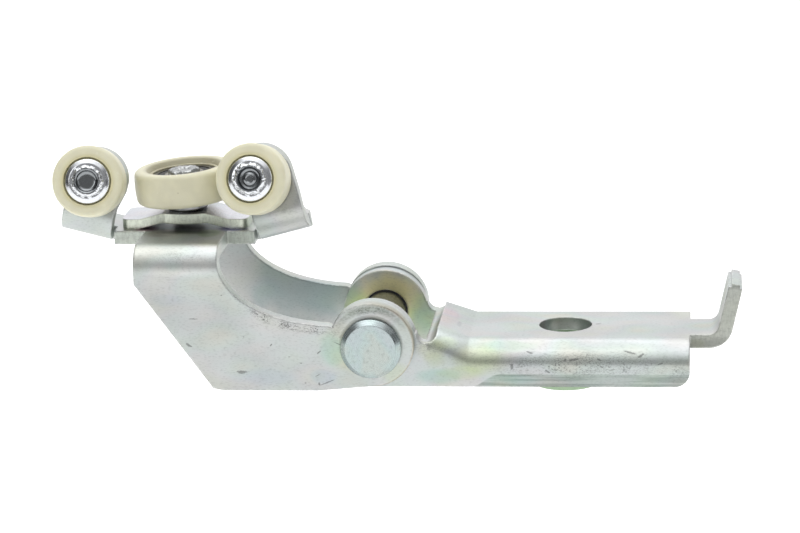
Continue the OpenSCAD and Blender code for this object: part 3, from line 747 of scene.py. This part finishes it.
@dataclass
class RollerBracket:
    """The pressed roller bracket and the joggled plate that carries the stud."""

    cheek_y: float = -23.9
    ear_centre: tuple[float, float] = (-55.0, 0.3)
    tints_and_painted_light: tuple[Patch, ...] = (
        Patch((-62, -23.9, 0), (13, 2, 13), (1.0, 0.97, 0.82), 0.8),
        Patch((-66, -23.9, -1), (7, 2, 9), (0.85, 1.0, 0.99), 1.0),
        Patch((-69, -23.9, -9), (7, 2, 4), (0.86, 0.93, 1.0), 0.8),
        # Painted light on the lower part of the front bend, against its dark reflection.
        Patch((-110, -23.6, 24.0), (24, 5, 5.5), (1.18, 1.18, 1.16), 1.0),
        # Painted shade: a dark band on the web top along the plate's edge.
        Patch((-112, -4.5, 28.9), (22, 4.5, 1.3), (0.40, 0.41, 0.37), 0.9),
        Patch((-48, -23.9, -8), (8, 2, 6), (0.95, 1.0, 0.84), 0.8),
        Patch((-86, -23.9, -9), (16, 2, 5), (0.90, 0.93, 1.0), 0.7),
        Patch((-112, -22, 24), (7, 4, 4), (0.86, 0.98, 1.0), 0.8),
        Patch((-114, -23, 14), (10, 3, 4), (0.90, 0.94, 1.0), 0.7),
        # Film colours on the web top beside the plate, darkened as painted shade.
        Patch((-118, -6, 29), (9, 9, 3), (0.74, 0.66, 0.62), 0.8),
        Patch((-104, -6, 29), (6, 9, 3), (0.70, 0.76, 0.60), 0.9),
        Patch((-124, 0, 29.5), (7, 7, 1.5), (0.72, 0.45, 0.55), 0.9),
        Patch((-98, 0, 29.5), (7, 7, 1.5), (0.48, 0.45, 0.85), 0.9),
        # Painted shade on the inner face of the back cheek.
        Patch((-80, 20, 8), (30, 1.5, 24), (0.67, 0.77, 0.78), 0.9),
        Patch((-88, -6, 40), (8, 6, 6), (0.86, 1.0, 0.94), 0.6),
    )
    scratches: tuple[Scratch, ...] = (
        Scratch((-106.6, -23.9, 8.4), 1.7, 0.22, 2), Scratch((-108.3, -23.9, 0.5), 1.2, 0.6, 30),
        Scratch((-93.0, -23.9, -7.6), 1.7, 0.9, 0), Scratch((-84.1, -23.9, 0.6), 0.6, 0.35, -50),
        Scratch((-115.7, -23.9, 4.8), 0.6, 1.0, -20), Scratch((-70.7, -23.9, -8.5), 1.2, 0.2, -30),
        Scratch((-67.8, -23.9, -10.6), 3.0, 0.25, -22), Scratch((-70.4, -23.9, -11.2), 0.35, 0.8, -10),
        Scratch((-70.2, -23.9, -1.6), 0.9, 0.35, -40), Scratch((-98.0, -23.9, 15.5), 0.3, 0.3, 0),
        Scratch((-92.0, -23.9, 3.0), 0.25, 0.25, 0), Scratch((-79.0, -23.9, -3.0), 0.3, 0.3, 0),
        Scratch((-110.2, -23.9, -3.0), 0.25, 0.25, 0), Scratch((-75.5, -23.9, -4.9), 0.35, 0.25, 0),
        Scratch((-66.5, -23.9, 6.5), 1.4, 0.3, 40), Scratch((-74.4, -23.9, -10.9), 0.3, 0.3, 0),
        Scratch((-64.6, -23.9, 1.0), 1.6, 0.2, 25), Scratch((-62.5, -23.9, -1.5), 1.2, 0.18, 15),
    )
    speckles: tuple[Patch, ...] = (
        Patch((-92.8, -23.9, 14.6), (4.5, 2, 1.6), (0, 0, 0), 1.0, (0, 48, 0)),
        Patch((-86.5, -23.9, 9.2), (5.5, 2, 2.0), (0, 0, 0), 1.4, (0, 32, 0)),
        Patch((-78.8, -23.9, 6.3), (6.5, 2, 2.0), (0, 0, 0), 1.4, (0, 12, 0)),
        Patch((-71.0, -23.9, 5.2), (6.5, 2, 1.9), (0, 0, 0), 1.2, (0, 3, 0)),
        Patch((-65.0, -23.9, 4.6), (4, 2, 4), (0, 0, 0), 0.5),
        Patch((-110, -23.0, 27.0), (17, 3, 4.0), (0, 0, 0), 0.45),
        Patch((-55, -23.9, 11.2), (9, 2, 2.0), (0, 0, 0), 1.0),
        Patch((-140, -5, 36), (12, 6, 2.0), (0, 0, 0), 0.5),
        Patch((-86, -5, 36), (12, 6, 2.0), (0, 0, 0), 0.4),
    )

    def _ear_ring(self, graph: Graph, colour: Signal) -> Signal:
        """Darkens the front ear round the hinge pin: a darker grainy band on its upper part, a brown line on its rim
        and a painted shadow round the pin head.

        Args:
            graph: The sheet's graph.
            colour: Its colour so far.

        Returns:
            The new colour.
        """
        x, z = self.ear_centre
        flat = graph.node("ShaderNodeVectorMath", {"operation": "MULTIPLY"},
                          {0: graph.moved((x, 0, z)), 1: (1, 0, 1)})
        length = graph.node("ShaderNodeVectorMath", {"operation": "LENGTH"}, {0: flat.outputs[0]})
        reach = Signal(graph, length.outputs["Value"])
        front = 1 - graph.axis(1).step(self.cheek_y + 1.0, self.cheek_y + 4.0)
        upper = graph.axis(2).step(2.0, 10.5)
        dark_grain = graph.grain(0.6, 3.0, (1.5, 1, 1)).step(0.36, 0.60)
        # A darker, grainy band over the upper part of the ear.
        band = reach.step(9.3, 10.8) * (1 - reach.step(11.4, 12.3)) * upper * (dark_grain * 0.5 + 0.5)
        colour = graph.tint(colour, (0.55, 0.56, 0.52), band * front * 0.9)
        line = reach.step(11.7, 12.3) * (1 - reach.step(12.5, 13.1)) * front * graph.axis(0).step(-60.0, -48.0)
        colour = graph.tint(colour, (0.80, 0.70, 0.58), line * 0.8)
        # Painted shadow in a thin ring round the pin head.
        shade = (1 - reach.step(8.9, 9.5)) * front
        return graph.tint(colour, (0.6, 0.6, 0.58), shade * 0.7)

    def dress(self, nodes: dict[str, bpy.types.Object]) -> None:
        """Gives the sheet and the plate their finishes."""
        sheet = SheetZinc("bracket_zinc", sheen=0.32, edge_radius=0.9, tints_and_painted_light=self.tints_and_painted_light,
                          scratches=self.scratches, speckles=self.speckles,
                          cut_share=0.3,
                          cut_zones=(Patch((-112, -3, 27.4), (30, 0.6, 2.6), (0, 0, 0), 0.75),))
        dress(nodes["roller_bracket"], sheet.build(self._ear_ring))
        plate = SheetZinc("plate_zinc", base=(0.64, 0.645, 0.675), roughness=0.3, sheen=0.35, edge_radius=0.4,
                          cut_edge=(0.74, 0.79, 0.66), cut_share=0.85, flat_plate=True)
        dress(nodes["stud_plate"], plate.build())


@dataclass
class HingeAxle:
    """The hinge pin with its sleeve and washer."""

    spot: Spot

    def dress(self, nodes: dict[str, bpy.types.Object]) -> None:
        """Gives the pin, the sleeve and the washer their finishes."""
        centre, axis = tuple(self.spot.origin), tuple(self.spot.axis)
        pin = TurnedSteel("pin_zinc", (0.44, 0.495, 0.49), 0.24, centre, axis, 0.5, 0.35, 0.3, True, 0.3)
        sleeve = TurnedSteel("sleeve_steel", (0.30, 0.31, 0.29), 0.3, centre, axis, 0.8, 0.5, 0.5)
        washer = TurnedSteel("washer_zinc", (0.60, 0.62, 0.60), 0.34, centre, axis, 0.6, 0.3, 0.3)
        dress(nodes["hinge_pin"], pin.build())
        dress(nodes["pin_sleeve"], sleeve.build())
        dress(nodes["pin_washer"], washer.build())


class Seat(Enum):
    """The two places of a side roller; the value names its nodes and joint."""

    REAR = "rear"
    FRONT = "front"


@dataclass
class SideRoller:
    """One small roller on its riveted axle."""

    seat: Seat
    spot: Spot
    radius: float = 10.5
    width: float = 8.62
    start: float = 0.63
    axle_radius: float = 3.5
    head_radius: float = 6.65
    head_height: float = 8.1
    tail_radius: float = 5.5
    sheet: float = 4.0
    recess: float = 1.5
    sleeve_radius: float = 4.82

    def roller(self) -> None:
        """Builds the nylon roller with its round rims and the recess for the rivet's head."""
        low, high = self.start, self.start + self.width
        lip = self.head_radius + 0.35
        corners = [(self.sleeve_radius, low), (self.radius, low), (self.radius, high), (lip, high),
                   (lip, high - self.recess), (self.sleeve_radius, high - self.recess)]
        outline = Workshop.rounded(corners, (0.0, 0.4, 2.0, 0.5, 0.3, 0.0), 8)
        finish = IvoryNylon(f"nylon_{self.seat.value}", tuple(self.spot.origin), tuple(self.spot.axis),
                            lip, self.radius)
        Workshop.place(Workshop.lathe(outline), self.spot, f"{self.seat.value}_nylon_roller",
                       f"{self.seat.value}_wheel", "ivory_nylon", finish.build(), f"{self.seat.value}_roller")

    def _peened(self, mesh: bmesh.types.BMesh, inner: float, outer: float, seed: float) -> None:
        """Makes the formed ring of the head ragged.

        Args:
            mesh: The rivet's mesh.
            inner: Radius where the ragged zone starts.
            outer: Radius where it ends.
            seed: Shift of its pattern.
        """
        top = self.head_height + 0.6
        for vert in mesh.verts:
            reach = math.hypot(vert.co.x, vert.co.y)
            if vert.co.z < top or not inner < reach < outer:
                continue
            share = math.sin(math.pi * (reach - inner) / (outer - inner))
            turn = math.atan2(vert.co.y, vert.co.x)
            flat = noise.noise(Vector((math.cos(turn) * 3.4, math.sin(turn) * 3.4, seed)))
            fine = noise.noise(Vector((vert.co.x * 2.0, vert.co.y * 2.0, seed + 5)))
            push = 1 + (0.13 * flat + 0.015 * math.sin(6 * turn + seed)) * share
            vert.co.x *= push
            vert.co.y *= push
            vert.co.z += min(0.0, 0.22 * fine - 0.05) * share

    def rivet(self) -> None:
        """Builds the axle with its flanged head, the peened ring and the formed tail."""
        head = self.head_height
        tail = -self.sheet
        if self.seat is Seat.REAR:
            crater = [(3.25, head + 2.1), (2.85, head + 1.55), (2.35, head + 1.2), (0.0, head + 1.25)]
        else:
            crater = [(3.35, head + 1.95), (2.95, head + 1.1), (2.3, head + 0.85), (2.0, head + 1.4),
                      (1.25, head + 1.75), (0.9, head + 1.45), (0.0, head + 1.5)]
        outline = [(0.0, tail - 2.2), (3.9, tail - 2.2), (4.9, tail - 1.9), (self.tail_radius, tail - 1.2),
                   (self.tail_radius, tail), (self.axle_radius, tail), (self.axle_radius, head),
                   (self.head_radius, head), (self.head_radius, head + 0.75),
                   (self.head_radius - 0.25, head + 1.0), (self.head_radius - 0.8, head + 1.25),
                   (5.3, head + 1.5), (4.85, head + 1.58), (4.62, head + 1.62), (4.45, head + 1.95),
                   (4.2, head + 2.15), (3.85, head + 2.3), (3.6, head + 2.28), *crater]
        dense: list[tuple[float, float]] = []
        for (r0, z0), (r1, z1) in zip(outline, outline[1:]):
            parts = 3 if z0 > head + 0.5 and z1 > head + 0.5 else 1
            dense += [(r0 + (r1 - r0) * k / parts, z0 + (z1 - z0) * k / parts) for k in range(parts)]
        dense.append(outline[-1])
        mesh = Workshop.lathe(dense, 160)
        self._peened(mesh, 3.5, 5.1, 1.7 if self.seat is Seat.REAR else 8.3)
        # The rivet's finish has painted shade in its crater, inside 4 mm.
        finish = TurnedSteel(f"rivet_{self.seat.value}", (0.74, 0.76, 0.79), 0.15, tuple(self.spot.origin),
                             tuple(self.spot.axis), 0.9, 0.3, 0.6, False, 0.15, 0.04, None, 4.0, 0.3)
        Workshop.place(mesh, self.spot, f"{self.seat.value}_rivet", "bracket", "bright_rivet",
                       finish.build(), f"{self.seat.value}_axle")

    def build(self, nodes: dict[str, bpy.types.Object]) -> None:
        """Builds the roller and its rivet and dresses the washer and the sleeve."""
        self.roller()
        self.rivet()
        name = self.seat.value
        centre, axis = tuple(self.spot.origin), tuple(self.spot.axis)
        washer = TurnedSteel(f"{name}_washer_zinc", (0.55, 0.57, 0.56), 0.35, centre, axis)
        sleeve = TurnedSteel(f"{name}_sleeve_steel", (0.34, 0.35, 0.34), 0.3, centre, axis)
        dress(nodes[f"{name}_axle_washer"], washer.build())
        dress(nodes[f"{name}_roller_sleeve"], sleeve.build())


@dataclass
class CarrierRoller:
    """The large roller on its stud, with the ball bearing inside."""

    spot: Spot
    radius: float = 15.0
    width: float = 10.0
    start: float = 2.7
    crown: float = 0.35
    bearing_low: float = 4.7
    bearing_width: float = 6.0
    seat_radius: float = 9.6
    dish_radius: float = 10.7
    race_inner: float = 5.8
    race_outer: float = 8.0
    stud_radius: float = 4.0
    plate: float = 3.0
    lobes: int = 6
    head_radius: float = field(default=4.9)

    def tyre(self) -> None:
        """Builds the crowned tyre with its dished sides."""
        low, high = self.start, self.start + self.width
        top = self.bearing_low + self.bearing_width
        middle = (low + high) / 2
        corners = [(self.seat_radius, self.bearing_low), (self.seat_radius - 0.9, self.bearing_low),
                   (self.seat_radius - 0.9, self.bearing_low - 0.4), (self.dish_radius, low + 0.6),
                   (self.dish_radius + 0.6, low), (self.radius - self.crown, low),
                   (self.radius, middle - 1.6), (self.radius, middle + 1.6),
                   (self.radius - self.crown, high), (self.dish_radius + 0.6, high),
                   (self.dish_radius - 0.1, high - 1.1), (self.dish_radius - 0.4, top + 0.3),
                   (self.seat_radius, top + 0.3)]
        radii = (0, 0, 0, 0.3, 0.3, 2.4, 3.0, 3.0, 1.6, 0.6, 0.8, 0.2, 0)
        finish = IvoryNylon("nylon_carrier", tuple(self.spot.origin), tuple(self.spot.axis), self.dish_radius,
                            self.radius, base=(0.69, 0.665, 0.49), hub=(0.43, 0.40, 0.275))
        Workshop.place(Workshop.lathe(Workshop.rounded(corners, radii, 6), 160), self.spot, "carrier_nylon_tyre",
                       "carrier_wheel", "ivory_nylon", finish.build(), "carrier_tyre")

    def seal(self) -> None:
        """Builds the dark seal between the bearing's rings."""
        top = self.bearing_low + self.bearing_width - 0.15
        inner, outer = self.race_inner + 0.2, self.race_outer - 0.05
        corners = [(inner, top - 0.5), (outer, top - 0.5), (outer, top - 0.1), (outer - 0.4, top),
                   (inner + 0.9, top - 0.05), (inner + 0.6, top - 0.25), (inner, top - 0.25)]
        Workshop.place(Workshop.lathe(Workshop.rounded(corners, (0.1,) * 7, 2)), self.spot, "bearing_seal",
                       "carrier_wheel", "black_bush", BlackBush("seal_black").build())

    def stud(self) -> None:
        """Builds the stud with its collar and its roughly six-sided peened head."""
        top = self.bearing_low + self.bearing_width
        shank = self.stud_radius
        outline = [(0.0, -self.plate - 1.2), (shank, -self.plate - 1.2), (shank + 1.1, -self.plate - 0.8),
                   (shank + 1.1, -self.plate), (shank, -self.plate), (shank, 0.0), (shank + 1.9, 0.0),
                   (shank + 1.9, 2.0), (shank, 2.0), (shank, top), (self.head_radius - 0.15, top),
                   (self.head_radius - 0.1, top + 0.45), (self.head_radius - 0.15, top + 0.9),
                   (self.head_radius - 0.5, top + 1.3), (3.8, top + 1.37), (3.2, top + 1.38), (2.6, top + 1.36),
                   (2.1, top + 1.3), (1.7, top + 1.0), (1.2, top + 0.85), (0.6, top + 0.8), (0.0, top + 0.8)]
        mesh = Workshop.lathe(outline, 120)
        for vert in mesh.verts:
            reach = math.hypot(vert.co.x, vert.co.y)
            if vert.co.z < top + 0.2 or reach < 0.3:
                continue
            turn = math.atan2(vert.co.y, vert.co.x)
            lobe = 0.5 - 0.5 * math.cos(self.lobes * turn)
            lump = noise.noise(Vector((vert.co.x * 0.9, vert.co.y * 0.9, 3.0)))
            fine = noise.noise(Vector((vert.co.x * 2.1, vert.co.y * 2.1, 9.0)))
            squeeze = 1 - 0.10 * lobe * min(1.0, reach / 3.0)
            vert.co.x *= squeeze
            vert.co.y *= squeeze
            vert.co.z += min(0.0, 0.40 * lump + 0.22 * fine - 0.08)
        # The stud is darker at its foot, below 0.3 mm.
        finish = TurnedSteel("stud_steel", (0.42, 0.43, 0.43), 0.30, tuple(self.spot.origin),
                             tuple(self.spot.axis), 0.7, 0.6, 0.55, False, 0.12, 0.1, 0.3)
        Workshop.place(mesh, self.spot, "peened_stud", "bracket", "zinc_turned", finish.build(), "roller_stud")

    def build(self, nodes: dict[str, bpy.types.Object]) -> None:
        """Builds the tyre, the seal and the stud and dresses the rest of the stack."""
        self.tyre()
        self.seal()
        self.stud()
        centre, axis = tuple(self.spot.origin), tuple(self.spot.axis)
        finishes = {
            "stud_washer": TurnedSteel("stud_washer_zinc", (0.86, 0.86, 0.85), 0.45, centre, axis, 0.5, 0.2, 0.2),
            "stud_spacer": TurnedSteel("spacer_steel", (0.10, 0.10, 0.095), 0.35, centre, axis, 0.8, 0.4, 0.3),
            "bearing_inner": TurnedSteel("race_inner_steel", (0.20, 0.19, 0.175), 0.24, centre, axis, 0.5, 0.5, 0.4),
            "bearing_outer": TurnedSteel("race_outer_steel", (0.16, 0.15, 0.14), 0.24, centre, axis, 0.5, 0.5, 0.5),
            "bearing_balls": TurnedSteel("ball_steel", (0.72, 0.72, 0.73), 0.12, centre, axis, 2.0, 0.1, 0.1),
        }
        for name, finish in finishes.items():
            dress(nodes[name], finish.build())


@dataclass
class Studio:
    """Camera, floor and soft lights."""

    eye: Triple = (42.80, -804.27, 232.15)
    azimuth: float = -6.48
    elevation: float = 14.84
    roll: float = -1.74
    focal_px: float = 2840.43
    frame_px: float = 800.0
    sensor: float = 36.0
    floor_drop: float = 60.0

    def camera(self) -> None:
        """Makes the camera from the viewpoint worked out for the photograph."""
        az, el, roll = (math.radians(a) for a in (self.azimuth, self.elevation, self.roll))
        ahead = Vector((math.sin(az) * math.cos(el), math.cos(az) * math.cos(el), -math.sin(el)))
        right = Vector((math.cos(az), -math.sin(az), 0))
        up = right.cross(ahead)
        right, up = (right * math.cos(roll) + up * math.sin(roll), up * math.cos(roll) - right * math.sin(roll))
        data = bpy.data.cameras.new("camera")
        data.sensor_width, data.sensor_fit = self.sensor, "HORIZONTAL"
        data.lens = self.sensor * self.focal_px / self.frame_px
        data.clip_start, data.clip_end = 0.05, 50
        camera = bpy.data.objects.new("camera", data)
        turn = Matrix((right, up, -ahead)).transposed().to_4x4()
        camera.matrix_world = Matrix.Translation(Vector(self.eye) * MM) @ turn
        bpy.context.scene.collection.objects.link(camera)
        bpy.context.scene.camera = camera

    def light(self, name: str, at: Triple, aim: Triple, size: tuple[float, float], power: float,
              colour: Triple = (1, 1, 1)) -> None:
        """Adds a soft box.

        Args:
            name: The light's name.
            at: Its place in metres.
            aim: The point it faces.
            size: Its width and height.
            power: Its power in watts.
            colour: Its colour.
        """
        data = bpy.data.lights.new(name, "AREA")
        data.shape, data.size, data.size_y = "RECTANGLE", size[0], size[1]
        data.energy, data.color = power, colour
        lamp = bpy.data.objects.new(name, data)
        lamp.location = at
        lamp.rotation_euler = (Vector(aim) - Vector(at)).to_track_quat("-Z", "Y").to_euler()
        bpy.context.scene.collection.objects.link(lamp)

    def floor(self, low: float) -> None:
        """Lays the pale floor far enough under the part for the hinge to turn down.

        Args:
            low: Height of the part's lowest point in metres.
        """
        mesh = bmesh.new()
        bmesh.ops.create_circle(mesh, cap_ends=True, segments=64, radius=6.0)
        bmesh.ops.translate(mesh, vec=(0, 0, low - self.floor_drop * MM), verts=mesh.verts)
        data = bpy.data.meshes.new("floor")
        mesh.to_mesh(data)
        mesh.free()
        floor = bpy.data.objects.new("floor", data)
        bpy.context.scene.collection.objects.link(floor)
        graph = Graph("floor_white")
        wash = graph.grain(400, 1.0)
        colour = graph.mix((0.60, 0.60, 0.60), (0.63, 0.63, 0.63), wash)
        data.materials.append(graph.finish({"Roughness": 0.9, "Emission Color": (1.0, 1.0, 1.0),
                                            "Emission Strength": 0.68}, Base_Color=colour))
        floor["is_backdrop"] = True

    def world(self) -> None:
        """Sets the surroundings: white behind and above, darker at the sides."""
        world = bpy.data.worlds.new("surroundings")
        bpy.context.scene.world = world
        graph = Graph("surroundings", world)
        side, depth, height = (graph.axis(i, graph.direction) for i in range(3))
        tone = 1 - abs(side).step(0.40, 0.85) * 0.78
        front = 1 - (1 - depth.step(-0.45, 0.15)) * (1 - height.step(0.55, 0.85)) * 0.75
        strength = tone * front * 1.2
        back = graph.node("ShaderNodeBackground", None, {"Color": (1.0, 1.0, 1.0), "Strength": strength})
        graph.node("ShaderNodeOutputWorld", None, {"Surface": back.outputs[0]})

    def build(self) -> None:
        """Sets up the whole studio."""
        self.camera()
        self.world()
        low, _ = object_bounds()
        self.floor(low.z)
        self.light("overhead", (-0.10, 0.10, 0.95), (0, 0, 0), (1.3, 0.9), 3.8)
        self.light("front_left", (-0.75, -0.80, 0.55), (-0.05, 0, 0), (0.35, 0.6), 1.1)
        self.light("front_right", (0.85, -0.60, 0.45), (0, 0, 0), (0.3, 0.6), 0.8)
        view = bpy.context.scene.view_settings
        view.view_transform, view.look = "Standard", "None"


def main() -> None:
    """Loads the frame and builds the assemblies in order."""
    logging.basicConfig(level=logging.INFO, format="%(message)s")
    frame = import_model()
    nodes, joints = frame["nodes"], frame["joints"]
    Studio().build()
    HingeArm().dress(nodes)
    RollerBracket().dress(nodes)
    HingeAxle(Spot.of_joint(joints, "hinge")).dress(nodes)
    CarrierRoller(Spot.of_joint(joints, "carrier_spin")).build(nodes)
    for seat in Seat:
        SideRoller(seat, Spot.of_joint(joints, f"{seat.value}_spin")).build(nodes)


if __name__ == "__main__":
    main()
